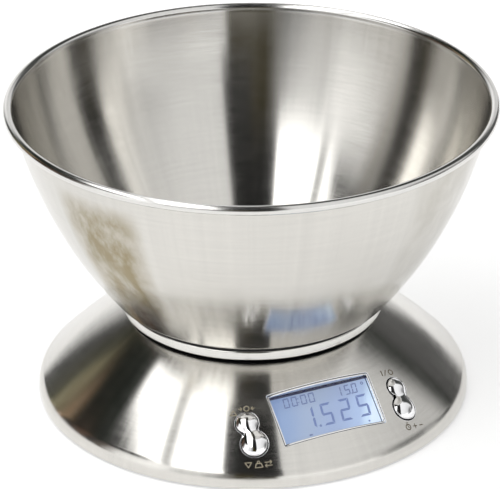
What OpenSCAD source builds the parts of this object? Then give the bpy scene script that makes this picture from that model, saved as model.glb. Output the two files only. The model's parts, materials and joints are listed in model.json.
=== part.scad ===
// Kitchen scale with a lift-off mixing bowl.
// Millimetres, +Z up, origin on the table under the centre of the base, display facing -Y.

/* [Bowl] */
// Outer diameter over the rolled rim
bowl_d = 235; // [231:1:240]
// Radius of the arc that the wall follows from the base to the rim
bowl_wall_r = 223; // [218:1:228]
// Height of the bowl from its underside to the middle of the rolled rim
bowl_h = 98.6; // [95:0.2:102]
// Sheet thickness of the bowl
bowl_t = 0.7; // [0.6:0.1:0.8]
// Outer radius of the rolled rim's curl
curl_r = 2.25; // [2:0.05:2.4]
// Radius of the rounding between the bowl's underside and its wall
bowl_fillet = 3.5; // [3:0.1:4]

/* [Platform] */
// Outer diameter of the weighing platform
pan_d = 126.8; // [124:0.2:127.2]
// Height of the platform's top above the table
pan_z = 52.2; // [51.6:0.2:53]
// Depth of the platform's turned-down edge
pan_edge_h = 5.6; // [5:0.2:6]
// Step from the platform's top down to its outer edge
pan_step = 1; // [0.6:0.1:1.2]
// Radius of the raised centre that keeps the bowl in place
pan_boss_r = 49; // [46:1:50]

/* [Base cover] */
// Diameter of the base
base_d = 210; // [208:1:212]
// Radius of the opening that the platform floats over
opening_r = 61.6; // [61.2:0.1:62]
// Height of the cover at that opening
opening_z = 43.95; // [43.45:0.05:44.25]
// Slope of the cover at the opening, in degrees
opening_slope = 33.1; // [32.8:0.01:33.5]
// Radius of the arc that the cover follows from the opening to its lower edge
dome_r = 232; // [230:1:236]
// Radius of the cover's lower corner
corner_r = 9.5; // [9:0.5:10]
// Sheet thickness of the cover
cover_t = 0.7; // [0.6:0.1:0.8]

/* [Display] */
// Width of the display opening
display_w = 53; // [52:0.2:54]
// Height of the display opening along its slope
display_l = 26.6; // [26:0.2:27]
// Tilt of the display from the table, in degrees
display_tilt = 38.4; // [38:0.1:39]
// Distance of the display plane's middle from the centre of the base
display_y = 80.75; // [80.5:0.05:81]
// Height of the display plane's middle above the table
display_z = 25.25; // [25:0.05:25.5]

/* [Rocker buttons] */
// Distance of each rocker from the middle plane
button_x = 39.3; // [39:0.1:40]
// Distance of each rocker in front of the centre
button_y = 80.85; // [80.5:0.05:81.5]
// Distance between the centres of a rocker's two lobes
lobe_pitch = 10.7; // [10.4:0.1:11]
// Radius of the upper lobe
lobe_top_r = 5.1; // [4.9:0.1:5.3]
// Radius of the lower lobe
lobe_low_r = 6.1; // [5.9:0.1:6.3]
// Gap between a rocker and the cover
button_gap = 0.5; // [0.45:0.05:0.6]

/* [Load cell] */
// Length of the load cell
cell_l = 75; // [74:1:76]
// Width and height of the load cell
cell_w = 12.7; // [12.5:0.1:12.8]
// Height of the load cell's underside above the table
cell_z = 9; // [8.8:0.1:9.2]

/* [Battery] */
// Diameter of a battery cell
battery_d = 10.5; // [10:0.1:10.5]
// Length of a battery cell with its contact
battery_l = 44.5; // [44:0.1:44.6]

/* [Hidden] */
$fn = 96;

eps = 0.01;

// Bowl: centre of the wall's arc and of the rounding at its foot
bowl_z = pan_z;
wall_cr = bowl_d / 2 - 222.1;
wall_cz = bowl_z + 144.4;
fillet_cz = bowl_z + bowl_fillet;
fillet_cr = wall_cr + sqrt(pow(bowl_wall_r - bowl_fillet, 2) - pow(wall_cz - fillet_cz, 2));
wall_foot_a = -asin((wall_cz - fillet_cz) / (bowl_wall_r - bowl_fillet));
curl_cr = bowl_d / 2 - curl_r;
curl_cz = bowl_z + bowl_h;
wall_top_a = -asin((wall_cz - curl_cz) / bowl_wall_r);
curl_end_a = -120;
bowl_kick_r = pan_boss_r + 1;
bowl_kick_h = 1;

// Platform
pan_t = 0.8;
pan_round = 1.2;
pan_boss_h = 0.8;
pan_step_r = 60;
carrier_r = pan_step_r - pan_t - 0.3;
carrier_z = pan_z - pan_t - 2;
post_x = 30;
post_y = 20;
post_r = 4.5;
bracket_t = 2.5;
spacer_t = 2.5;
cell_top = cell_z + cell_w;
bracket_z = cell_top + spacer_t;
cell_screw_x = [20.5, 32.5];
m4_r = 2;

// Cover: centre of the dome's arc and of the corner below it
base_r = base_d / 2;
dome_cr = opening_r - dome_r * sin(opening_slope);
dome_cz = opening_z - dome_r * cos(opening_slope);
corner_cr = base_r - corner_r;
corner_cz = dome_cz + sqrt(pow(dome_r - corner_r, 2) - pow(corner_cr - dome_cr, 2));
corner_a = atan2(corner_cz - dome_cz, corner_cr - dome_cr);
skirt_z = 1.2;
frame_gap = 0.05;
frame_t = 2;
well_z = 37;
well_r = opening_r - 1;

// Bottom case
floor_z = 1.6;
floor_top = 3.6;
case_r = base_r - 1.8;
case_rim_t = 2;
case_rim_z = 7;
case_screw_r = 92;
case_screw_angles = [0, 62, 118, 180, 212, 328];
foot_r = 7.5;
foot_place = 84;
foot_stem_r = 2.5;
stop_x = 30;

// Display layers, measured along the display's normal from its plane
lens_top = -1.2;
lens_low = -2.4;
lcd_low = -4.5;
light_low = -7;
board_top = -7.6;
board_t = 1.6;
board_low = board_top - board_t;
board_x = 28.5;
board_y = [-20.4, 21];
board_screw_y = [-18.2, 18.6];
board_screw_x = 24.5;

// Rockers: frame that lies on the cover, its axis parallel to the display's slope
button_r = norm([button_x, button_y]);
button_z = dome_height(button_r);
button_slope = asin((button_r - dome_cr) / dome_r);
button_turn = atan2(button_x, button_y);
button_roll = asin(sin(button_slope) * sin(button_turn));
button_pitch = atan2(sin(button_slope) * cos(button_turn), cos(button_slope));
pivot_z = -5;
pin_r = 1;
pin_gap = 0.05;
lobe_y = lobe_pitch / 2;
key_top = -11.4;
key_t = 1.2;
key_y = [-10, 12];
holder_low = -14;
ear_x = [4.2, 6];

// Battery bay
bay_x = 26.5;
bay_y = [44.5, 68];
bay_top = 15.2;
battery_y = [50.4, 62.1];
battery_z = 9.5;
door_x = 28;
door_y = [42, 72];
track_end = 90.5;
track_top = 3.7;

function reverse(list) = [for (i = [len(list) - 1:-1:0]) list[i]];

// Points of an arc round [cr, cz] from angle a to angle b
function arc(cr, cz, r, a, b, n) =
    [for (i = [0:n]) [cr + r * cos(a + (b - a) * i / n), cz + r * sin(a + (b - a) * i / n)]];

// Height of the cover's outer face at radius r
function dome_height(r) = dome_cz + sqrt(pow(dome_r, 2) - pow(r - dome_cr, 2));

// Outline of the cover, moved outwards by d
function dome_curve(d) = concat(
    arc(dome_cr, dome_cz, dome_r + d, 90 - opening_slope, corner_a, 14),
    arc(corner_cr, corner_cz, corner_r + d, corner_a, 0, 8));

// Smooth curve through hand-placed points, n steps between each two
function blend4(a, b, c, d, t) = 0.5 * (2 * b + (c - a) * t + (2 * a - 5 * b + 4 * c - d) * t * t
    + (3 * b - a - 3 * c + d) * t * t * t);
function smooth(p, n) = concat(
    [for (i = [0:len(p) - 2]) for (k = [0:n - 1])
        blend4(p[max(i - 1, 0)], p[i], p[i + 1], p[min(i + 2, len(p) - 1)], k / n)],
    [p[len(p) - 1]]);
function tangent(p, i) = let (d = p[min(i + 1, len(p) - 1)] - p[max(i - 1, 0)]) d / norm(d);
function across(t, up) = let (c = cross(t, up)) c / norm(c);

// Round wire of radius r along the points p; up is never parallel to the wire
module wire(p, r, sides = 8, up = [1, 0.2, 0.1]) {
    n = len(p);
    rings = [for (i = [0:n - 1])
        let (t = tangent(p, i), u = across(t, up), v = cross(t, u))
        for (k = [0:sides - 1]) p[i] + r * (cos(360 * k / sides) * u + sin(360 * k / sides) * v)];
    walls = [for (i = [0:n - 2]) for (k = [0:sides - 1])
        let (a = i * sides + k, b = i * sides + (k + 1) % sides)
        each [[a, a + sides, b], [b, a + sides, b + sides]]];
    first = [for (k = [0:sides - 1]) k];
    last = [for (k = [sides - 1:-1:0]) (n - 1) * sides + k];
    polyhedron(points = rings, faces = concat(walls, [first], [last]), convexity = 6);
}

// Box centred in X and Y that runs from z = low to z = high
module slab(w, l, low, high) {
    translate([-w / 2, -l / 2, low]) cube([w, l, high - low]);
}

module in_display() {
    translate([0, -display_y, display_z]) rotate([display_tilt, 0, 0]) children();
}

module in_button(side) {
    translate([side * button_x, -button_y, button_z]) rotate([button_pitch, 0, 0])
        rotate([0, side * button_roll, 0]) children();
}

module around(angles, r) {
    for (a = angles) rotate([0, 0, a]) translate([r, 0, 0]) children();
}

module four(x, y) {
    for (i = [-1, 1]) for (j = [-1, 1]) translate([i * x, j * y, 0]) children();
}

// Everything under the cover's outline moved outwards by d
module under_dome(d) {
    rotate_extrude() polygon(concat([[0, 0]], [[0, dome_curve(d)[0][1]]], dome_curve(d),
        [[base_r + d, 0]]));
}

module screw(head_r, head_h, shank_r, shank_h) {
    cylinder(r = shank_r, h = shank_h);
    translate([0, 0, -head_h]) difference() {
        cylinder(r = head_r, h = head_h);
        for (a = [0, 90]) rotate([0, 0, a]) slab(head_r, head_r * 0.25, -1, head_h * 0.45);
    }
}

// ---- Bowl ----

module bowl() {
    outer = concat([[0, bowl_z + bowl_kick_h], [bowl_kick_r - 0.5, bowl_z + bowl_kick_h],
            [bowl_kick_r + 0.5, bowl_z]],
        arc(fillet_cr, fillet_cz, bowl_fillet, -90, wall_foot_a, 6),
        arc(wall_cr, wall_cz, bowl_wall_r, wall_foot_a, wall_top_a, 18));
    curl = concat(arc(curl_cr, curl_cz, curl_r - bowl_t, 170, curl_end_a, 16),
        arc(curl_cr, curl_cz, curl_r, curl_end_a, 180, 16));
    inner = concat([[0, bowl_z + bowl_kick_h + bowl_t],
            [bowl_kick_r - 0.3, bowl_z + bowl_kick_h + bowl_t], [bowl_kick_r + 0.7, bowl_z + bowl_t]],
        arc(fillet_cr, fillet_cz, bowl_fillet - bowl_t, -90, wall_foot_a, 6),
        arc(wall_cr, wall_cz, bowl_wall_r - bowl_t, wall_foot_a, wall_top_a - 0.3, 18));
    color("silver") rotate_extrude() polygon(concat(outer, curl, reverse(inner)));
}

// ---- Weighing platform ----

module platform_pan() {
    r = pan_d / 2;
    color("gainsboro") rotate_extrude() polygon(concat(
        [[0, pan_z + pan_boss_h], [pan_boss_r - 0.4, pan_z + pan_boss_h], [pan_boss_r + 0.4, pan_z],
            [pan_step_r, pan_z], [pan_step_r + 0.5, pan_z - pan_step]],
        arc(r - pan_round, pan_z - pan_step - pan_round, pan_round, 90, 0, 6),
        [[r, pan_z - pan_edge_h], [r - pan_t, pan_z - pan_edge_h]],
        arc(r - pan_round, pan_z - pan_step - pan_round, pan_round - pan_t, 0, 90, 4),
        [[pan_step_r - 0.2, pan_z - pan_step - pan_t], [pan_step_r - 0.7, pan_z - pan_t],
            [pan_boss_r, pan_z - pan_t], [pan_boss_r - 0.8, pan_z + pan_boss_h - pan_t],
            [0, pan_z + pan_boss_h - pan_t]]));
}

module platform_carrier() {
    color([0.12, 0.12, 0.13]) difference() {
        union() {
            translate([0, 0, carrier_z]) cylinder(r = carrier_r, h = 2);
            translate([0, 0, carrier_z - 2.6]) difference() {
                cylinder(r = carrier_r, h = 2.6 + eps);
                translate([0, 0, -1]) cylinder(r = carrier_r - 1.6, h = 7);
            }
            for (a = [0:45:135]) rotate([0, 0, a]) slab(2 * carrier_r - 2, 1.6, carrier_z - 2.4, carrier_z + eps);
            four(post_x, post_y) translate([0, 0, bracket_z + bracket_t])
                cylinder(r = post_r, h = carrier_z - bracket_z - bracket_t + eps);
        }
        four(post_x, post_y) translate([0, 0, bracket_z]) cylinder(r = 1.5, h = 14);
    }
}

module platform_bracket() {
    color("lightgray") difference() {
        slab(2 * post_x + 16, 2 * post_y + 14, bracket_z, bracket_z + bracket_t);
        four(post_x, post_y) translate([0, 0, bracket_z - 1]) cylinder(r = 1.7, h = bracket_t + 2);
        for (x = cell_screw_x) translate([x, 0, bracket_z - 1]) cylinder(r = 2.2, h = bracket_t + 2);
        for (j = [-1, 1]) translate([-12, j * 13, bracket_z - 1]) cylinder(r = 6, h = bracket_t + 2);
    }
}

module platform_screws() {
    color("dimgray") four(post_x, post_y) translate([0, 0, bracket_z]) screw(2.8, 1.8, 1.5, 12);
}

module bracket_spacer() {
    color("darkgray") difference() {
        translate([cell_l / 2 - 23, -cell_w / 2, cell_top]) cube([23, cell_w, spacer_t]);
        for (x = cell_screw_x) translate([x, 0, cell_top - 1]) cylinder(r = 2.2, h = spacer_t + 2);
    }
}

module bracket_screws() {
    color("dimgray") for (x = cell_screw_x) translate([x, 0, bracket_z + bracket_t])
        rotate([180, 0, 0]) screw(3.5, 2.4, m4_r, spacer_t + bracket_t + 7);
}

// ---- Housing ----

module lobes(grow) {
    translate([0, lobe_y]) circle(r = lobe_top_r + grow);
    translate([0, -lobe_y]) circle(r = lobe_low_r + grow);
    translate([-3.4 - grow, -lobe_y]) square([2 * (3.4 + grow), lobe_pitch]);
}

module button_cut(grow, low, high) {
    for (side = [-1, 1]) in_button(side) translate([0, 0, low]) linear_extrude(high - low) lobes(grow);
}

module top_cover() {
    color("silver") difference() {
        rotate_extrude() polygon(concat(dome_curve(0), [[base_r, skirt_z], [base_r - cover_t, skirt_z]],
            reverse(dome_curve(-cover_t))));
        in_display() slab(display_w, display_l, -6, 12);
        button_cut(button_gap, -4, 4);
    }
}

module cover_frame() {
    top = -cover_t - frame_gap;
    color([0.1, 0.1, 0.11]) difference() {
        union() {
            rotate_extrude() difference() {
                union() {
                    polygon(concat(dome_curve(top), reverse(dome_curve(top - frame_t))));
                    translate([well_r - 2, well_z]) square([2, opening_z - 1.4 - well_z]);
                    translate([0, well_z]) square([well_r, 2]);
                }
                square([base_r + 1, case_rim_z + 0.2]);
            }
            intersection() {
                union() {
                    around(case_screw_angles, case_screw_r) translate([0, 0, case_rim_z + 0.2])
                        cylinder(r = 3.6, h = 30);
                    in_display() for (y = board_screw_y) for (i = [-1, 1])
                        translate([i * board_screw_x, y, board_top]) cylinder(r = 2, h = 20);
                }
                under_dome(top - 1);
            }
        }
        in_display() slab(59.6, 33, -8, 14);
        button_cut(1.7, -8, 6);
        four(post_x, post_y) translate([0, 0, well_z - 1]) cylinder(r = post_r + 1.7, h = 4);
        for (x = cell_screw_x) translate([x, 0, well_z - 1]) cylinder(r = 3, h = 4);
        around(case_screw_angles, case_screw_r) cylinder(r = 1.5, h = 14);
        in_display() for (y = board_screw_y) for (i = [-1, 1])
            translate([i * board_screw_x, y, board_low]) cylinder(r = 1, h = 6);
    }
}

module bay_walls() {
    translate([-bay_x - 1.6, bay_y[0] - 1.6, track_top])
        cube([2 * bay_x + 3.2, bay_y[1] - bay_y[0] + 3.2, bay_top + 1.6 - track_top]);
    translate([-door_x - 3.5, door_y[0] - 2.4, floor_z])
        cube([2 * door_x + 7, track_end - door_y[0] + 4.8, track_top + 1.6 - floor_z]);
}

module bay_cuts() {
    translate([-bay_x, bay_y[0], 0]) cube([2 * bay_x, bay_y[1] - bay_y[0], bay_top]);
    translate([-door_x - 0.3, door_y[0] - 0.3, 0])
        cube([2 * door_x + 0.6, track_end - door_y[0] + 0.3, track_top]);
    translate([-door_x - 1.5, door_y[0] - 0.3, 2])
        cube([2 * door_x + 3, track_end - door_y[0] + 0.3, 1.2]);
}

module pedestals() {
    for (side = [-1, 1]) difference() {
        translate([side * 35, -73, floor_top - 1]) cylinder(r = 5, h = 12);
        in_button(side) translate([-20, -30, holder_low]) cube([40, 60, 30]);
    }
}

module bottom_case() {
    color([0.16, 0.16, 0.17]) difference() {
        union() {
            rotate_extrude() polygon([[0, floor_z], [case_r - 0.8, floor_z], [case_r, floor_z + 0.8],
                [case_r, case_rim_z], [case_r - case_rim_t, case_rim_z], [case_r - case_rim_t, floor_top],
                [0, floor_top]]);
            around(case_screw_angles, case_screw_r) translate([0, 0, floor_z])
                cylinder(r = 4.6, h = case_rim_z - floor_z);
            around([20, 40, 140, 160, 200, 240, 300, 340], 72)
                translate([-18, -0.8, floor_top - eps]) cube([30, 1.6, 1.6]);
            around([45, 135, 225, 315], foot_place) translate([0, 0, floor_z]) cylinder(r = 5, h = 4.6);
            translate([-cell_l / 2 - 2, -8, floor_z]) cube([27, 16, 6.5 - floor_z]);
            translate([stop_x, 0, floor_z]) cylinder(r = 5, h = 4);
            bay_walls();
            pedestals();
        }
        bay_cuts();
        around(case_screw_angles, case_screw_r) {
            cylinder(r = 1.7, h = 20);
            cylinder(r = 3.3, h = 4);
        }
        around([45, 135, 225, 315], foot_place) cylinder(r = foot_stem_r, h = 5);
        for (x = cell_screw_x) translate([-x, 0, 0]) {
            cylinder(r = 2.2, h = 20);
            cylinder(r = 3.8, h = 4.2);
        }
        translate([stop_x, 0, 0]) cylinder(r = 2, h = 20);
        around([262, 268, 274, 280], 70) cylinder(r = 1, h = 10);
    }
}

module case_screws() {
    color("dimgray") around(case_screw_angles, case_screw_r) translate([0, 0, 4]) screw(3, 2, 1.5, 9);
}

module rubber_feet() {
    color([0.2, 0.2, 0.2]) around([45, 135, 225, 315], foot_place) {
        rotate_extrude() polygon(concat([[0, 0], [foot_r - 0.6, 0], [foot_r, 0.6], [foot_r, floor_z],
            [foot_stem_r, floor_z], [foot_stem_r, 5], [0, 5]]));
    }
}

// ---- Load cell ----

module load_cell() {
    mid = cell_z + cell_w / 2;
    color([0.78, 0.78, 0.8]) difference() {
        slab(cell_l, cell_w, cell_z, cell_top);
        for (x = [-7, 7]) translate([x, 0, mid]) rotate([90, 0, 0]) cylinder(r = 4.9, h = 20, center = true);
        slab(14, 20, mid - 1, mid + 1);
        for (x = cell_screw_x) translate([x, 0, cell_z - 1]) cylinder(r = m4_r, h = cell_w + 2);
        for (x = cell_screw_x) translate([-x, 0, cell_z - 1]) cylinder(r = m4_r, h = cell_w + 2);
    }
}

module load_cell_spacer() {
    color("darkgray") difference() {
        translate([-cell_l / 2, -cell_w / 2, 6.5]) cube([23, cell_w, cell_z - 6.5]);
        for (x = cell_screw_x) translate([-x, 0, 6]) cylinder(r = 2.2, h = 4);
    }
}

module load_cell_screws() {
    color("dimgray") for (x = cell_screw_x) translate([-x, 0, 4.2]) screw(3.5, 2.4, m4_r, 11);
}

module strain_gauge_cover() {
    color("whitesmoke") for (z = [cell_z - 1, cell_top]) slab(22, 10, z, z + 1);
}

module overload_stop() {
    color("dimgray") translate([stop_x, 0, 3]) difference() {
        cylinder(r = 2, h = cell_z - 0.55 - 3);
        slab(5, 0.8, -1, 1);
    }
}

module sensor_cable() {
    route = [[-4, -7.6, 12], [-4, -13, 11], [-6, -25, 8], [-8, -38, 8], [-6, -50, 12], [-4, -57, 20],
        [-4, -62.2, 27.6]];
    color("whitesmoke") wire(smooth(route, 8), 1.2);
}

// ---- Electronics ----

module main_board() {
    color("darkgreen") in_display() difference() {
        translate([-board_x, board_y[0], board_low]) cube([2 * board_x, board_y[1] - board_y[0], board_t]);
        for (y = board_screw_y) for (i = [-1, 1])
            translate([i * board_screw_x, y, board_low - 1]) cylinder(r = 1.1, h = board_t + 2);
    }
}

module chip(w, l, h, pins) {
    slab(w, l, -h, 0);
    pitch = l / pins;
    for (i = [-1, 1]) for (k = [0:pins - 1])
        translate([i * (w / 2 + 0.5), -l / 2 + (k + 0.5) * pitch, 0]) slab(1.02, pitch * 0.45, -0.5, 0);
}

module controller_chip() {
    color([0.08, 0.08, 0.08]) in_display() translate([2, 0, board_low]) chip(10, 12, 1.6, 10);
}

module converter_chip() {
    color([0.08, 0.08, 0.08]) in_display() translate([-10, 6, board_low]) chip(4, 7, 1.5, 6);
}

module board_components() {
    color("tan") in_display() for (i = [0:3]) {
        translate([-20 + 3 * i, -8, board_low]) slab(1.2, 2, -1, 0);
        translate([-4 + 3.5 * i, 12.5, board_low]) slab(1.2, 2, -1, 0);
    }
}

module buzzer() {
    color([0.1, 0.1, 0.1]) in_display() translate([17, 1, board_low - 3.2]) difference() {
        cylinder(r = 6, h = 3.2);
        translate([0, 0, -1]) cylinder(r = 1, h = 2);
    }
}

module temperature_sensor() {
    color("black") in_display() translate([-23, 3, board_low]) {
        for (x = [-0.7, 0.7]) translate([x, 0, -2.6]) cylinder(r = 0.25, h = 2.6);
        translate([0, 0, -3.2]) sphere(r = 1.3);
    }
}

module board_screws() {
    color("silver") in_display() for (y = board_screw_y) for (i = [-1, 1])
        translate([i * board_screw_x, y, board_low]) screw(1.9, 1.4, 1, 5);
}

module display_bezel() {
    w = display_w - 0.2;
    l = display_l - 0.2;
    color("gainsboro") intersection() {
        in_display() difference() {
            union() {
                slab(w, l, lens_low, 12);
                slab(w + 4, l + 4, lens_low, lens_low + 1);
            }
            slab(w - 1.6, l - 1.6, -6, 20);
        }
        under_dome(0.35);
    }
}

module display_lens() {
    color([0.8, 0.9, 1, 0.35]) in_display() slab(display_w - 1.9, display_l - 1.9, lens_low, lens_top);
}

module display_holder() {
    color("whitesmoke") in_display() difference() {
        slab(59, 32.4, board_top, lens_low);
        slab(54.2, 27.4, board_top - 1, lens_low + 1);
    }
}

module lcd_glass() {
    color([0.66, 0.74, 0.86]) in_display() slab(54, 27.2, lcd_low, lens_low);
}

module lcd_connector() {
    color("dimgray") in_display() translate([0, 12.2, 0]) slab(48, 2, board_top, lcd_low);
}

module backlight_panel() {
    color("white") in_display() translate([0, -1.4, 0]) slab(53, 23.6, light_low, lcd_low);
}

// ---- Rocker buttons ----

// Domed cap of one lobe: its top is an arc that rises by h over the edge
module lobe(r, h) {
    ball = (r * r + h * h) / (2 * h);
    rotate_extrude() polygon(concat([[0, -2.2], [r, -2.2]],
        arc(0, 0.3 + h - ball, ball, acos(r / ball), 90, 10)));
}

module rocker() {
    difference() {
        union() {
            translate([0, lobe_y, 0]) lobe(lobe_top_r, 2.4);
            translate([0, -lobe_y, 0]) lobe(lobe_low_r, 2.8);
            slab(6.8, lobe_pitch - 2, -2.2, 0.9);
            slab(7.8, 5.2, pivot_z - 1.9, -2);
            for (y = [-lobe_y, lobe_y]) translate([0, y, -7.4]) cylinder(r = 1.5, h = 6);
        }
        translate([0, 0, pivot_z]) rotate([0, 90, 0]) cylinder(r = pin_r + pin_gap, h = 20, center = true);
    }
}

module tare_unit_rocker() {
    color("white") in_button(-1) rocker();
}

module power_timer_rocker() {
    color("white") in_button(1) rocker();
}

module rocker_holders() {
    color([0.1, 0.1, 0.11]) for (side = [-1, 1]) in_button(side) difference() {
        union() {
            translate([-6, key_y[0], holder_low]) cube([12, key_y[1] - key_y[0], key_top - key_t - holder_low]);
            for (i = [-1, 1]) translate([i * (ear_x[0] + ear_x[1]) / 2, 0, 0])
                slab(ear_x[1] - ear_x[0], 5.6, holder_low, pivot_z + 1.6);
        }
        translate([0, 0, pivot_z]) rotate([0, 90, 0]) cylinder(r = pin_r, h = 20, center = true);
        translate([0, 10.2, holder_low - 1]) cylinder(r = 0.9, h = 5);
    }
}

module rocker_pins() {
    color("silver") for (side = [-1, 1]) in_button(side) translate([0, 0, pivot_z]) rotate([0, 90, 0])
        cylinder(r = pin_r, h = 2 * ear_x[1], center = true);
}

module key_boards() {
    color("darkgreen") for (side = [-1, 1]) in_button(side) difference() {
        translate([-4, key_y[0], key_top - key_t]) cube([8, key_y[1] - key_y[0], key_t]);
        translate([0, 10.2, key_top - 3]) cylinder(r = 1, h = 5);
    }
}

module tact_switches() {
    color([0.15, 0.15, 0.15]) for (side = [-1, 1]) for (y = [-lobe_y, lobe_y])
        in_button(side) translate([0, y, key_top]) {
            slab(4.5, 4.5, 0, 2.6);
            cylinder(r = 1.2, h = 3.5);
        }
}

module key_screws() {
    color("silver") for (side = [-1, 1]) in_button(side) translate([0, 10.2, key_top])
        rotate([180, 0, 0]) screw(1.6, 1.2, 0.9, 2.6);
}

module key_cable_left() {
    route = [[-35.9, -63.7, 21.2], [-34, -60, 21], [-29, -59, 20], [-24, -61.5, 21.5], [-22, -65.3, 25]];
    color("gray") wire(smooth(route, 8), 0.8, 8, [0.1, 0.2, 1]);
}

module key_cable_right() {
    mirror([1, 0, 0]) key_cable_left();
}

// ---- Battery ----

module battery_cells() {
    color("goldenrod") for (k = [0, 1]) translate([k == 0 ? 0.2 : -0.2, battery_y[k], battery_z])
        rotate([0, 90, k * 180]) {
            cylinder(d = battery_d, h = battery_l - 1, center = true);
            translate([0, 0, battery_l / 2 - 0.5]) cylinder(r = 1.9, h = 1);
        }
}

module battery_springs() {
    turns = 3;
    coil = [for (i = [0:15 * turns]) let (a = 24 * i, s = i / (15 * turns))
        [3.2 * s, (3.6 - 1.2 * s) * cos(a), (3.6 - 1.2 * s) * sin(a)]];
    color("silver") for (k = [0, 1]) translate([0, battery_y[k], battery_z]) rotate([0, 0, k * 180])
        translate([-bay_x + 0.9, 0, 0]) wire(coil, 0.35, 8, [1, 0, 0]);
}

module battery_contacts() {
    color("silver") {
        for (k = [0, 1]) for (i = [-1, 1]) translate([i * (bay_x - 0.25), battery_y[k], battery_z])
            cube([0.5, 9, 9], center = true);
        translate([bay_x - 0.5, battery_y[0], battery_z - 2]) cube([0.5, battery_y[1] - battery_y[0], 4]);
    }
}

module battery_lead_red() {
    route = [[-29, 50, 9], [-38, 46, 8], [-48, 30, 7], [-48, 0, 7], [-42, -28, 8], [-26, -46, 10],
        [-14, -57, 20], [-13, -62.2, 27.6]];
    color("red") wire(smooth(route, 8), 0.7, 8, [0.1, 0.2, 1]);
}

module battery_lead_black() {
    route = [[-29, 62, 9], [-42, 52, 8], [-54, 32, 7], [-54, 0, 7], [-47, -30, 8], [-32, -48, 10],
        [-19, -57, 20], [-17, -62.2, 27.6]];
    color([0.1, 0.1, 0.1]) wire(smooth(route, 8), 0.7, 8, [0.1, 0.2, 1]);
}

module battery_door() {
    color([0.16, 0.16, 0.17]) difference() {
        union() {
            translate([-door_x, door_y[0], 1.7]) cube([2 * door_x, door_y[1] - door_y[0], 1.8]);
            translate([-door_x - 1.2, door_y[0] + 1, 2.2]) cube([2 * door_x + 2.4, door_y[1] - door_y[0] - 2, 0.8]);
        }
        for (k = [0:4]) translate([-8, door_y[1] - 12 + 2 * k, 1]) cube([16, 0.9, 1.3]);
    }
}

bowl();
platform_pan();
platform_carrier();
platform_bracket();
platform_screws();
bracket_spacer();
bracket_screws();
top_cover();
cover_frame();
bottom_case();
case_screws();
rubber_feet();
load_cell();
load_cell_spacer();
load_cell_screws();
strain_gauge_cover();
overload_stop();
sensor_cable();
main_board();
controller_chip();
converter_chip();
board_components();
buzzer();
temperature_sensor();
board_screws();
display_bezel();
display_lens();
display_holder();
lcd_glass();
lcd_connector();
backlight_panel();
rocker_holders();
rocker_pins();
key_boards();
tact_switches();
key_screws();
key_cable_left();
key_cable_right();
tare_unit_rocker();
power_timer_rocker();
battery_cells();
battery_springs();
battery_contacts();
battery_lead_red();
battery_lead_black();
battery_door();
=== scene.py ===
import json
import math

import bpy
import numpy as np
from mathutils import Matrix, Vector


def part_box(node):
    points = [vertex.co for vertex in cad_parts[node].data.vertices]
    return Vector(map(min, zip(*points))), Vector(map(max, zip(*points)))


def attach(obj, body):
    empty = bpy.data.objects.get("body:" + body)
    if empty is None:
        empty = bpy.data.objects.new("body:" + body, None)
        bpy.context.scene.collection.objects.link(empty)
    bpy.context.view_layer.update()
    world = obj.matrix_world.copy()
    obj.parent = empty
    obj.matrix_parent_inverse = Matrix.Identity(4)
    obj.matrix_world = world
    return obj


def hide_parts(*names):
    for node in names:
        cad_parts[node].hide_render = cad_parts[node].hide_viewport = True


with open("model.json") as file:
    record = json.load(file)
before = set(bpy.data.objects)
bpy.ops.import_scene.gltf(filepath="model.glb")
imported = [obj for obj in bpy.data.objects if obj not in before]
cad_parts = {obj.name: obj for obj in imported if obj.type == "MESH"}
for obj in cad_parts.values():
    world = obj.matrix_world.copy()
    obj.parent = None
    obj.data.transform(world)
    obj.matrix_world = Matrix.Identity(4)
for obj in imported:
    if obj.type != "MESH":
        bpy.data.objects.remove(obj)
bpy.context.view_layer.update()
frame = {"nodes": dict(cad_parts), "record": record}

# ---------------------------------------------------------------- sizes, in millimetres
MM = 0.001


def mm(node):
    lo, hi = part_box(node)
    return [v / MM for v in lo], [v / MM for v in hi]


# bowl: the wall's arc, the rounding at its foot and the curl of its rim
BOWL_Z, BOWL_TOP = (corner[2] for corner in mm("bowl"))
BOWL_T = 0.7
BOWL_R = 117.5
WALL_R = 223.0
WALL_CR = BOWL_R - 222.1
WALL_CZ = BOWL_Z + 144.4
FILLET = 11.0  # softer than the CAD's 3.5, to take the reflections that the picture shows there
FILLET_CZ = BOWL_Z + FILLET
FILLET_CR = WALL_CR + math.sqrt((WALL_R - FILLET) ** 2 - (WALL_CZ - FILLET_CZ) ** 2)
WALL_FOOT = -math.degrees(math.asin((WALL_CZ - FILLET_CZ) / (WALL_R - FILLET)))
CURL = 2.25
CURL_CR = BOWL_R - CURL
CURL_CZ = BOWL_TOP - CURL
WALL_TOP = -math.degrees(math.asin((WALL_CZ - CURL_CZ) / WALL_R))
KICK_R, KICK_H = 50.0, 1.0

# platform
PAN_R = 63.4
PAN_Z = BOWL_Z
PAN_T = 0.8
PAN_ROUND = 1.2
PAN_LOW = mm("platform_pan")[0][2]
PAN_STEP_R, PAN_STEP = 60.0, 1.0
BOSS_R, BOSS_H = 49.0, 0.8

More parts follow.
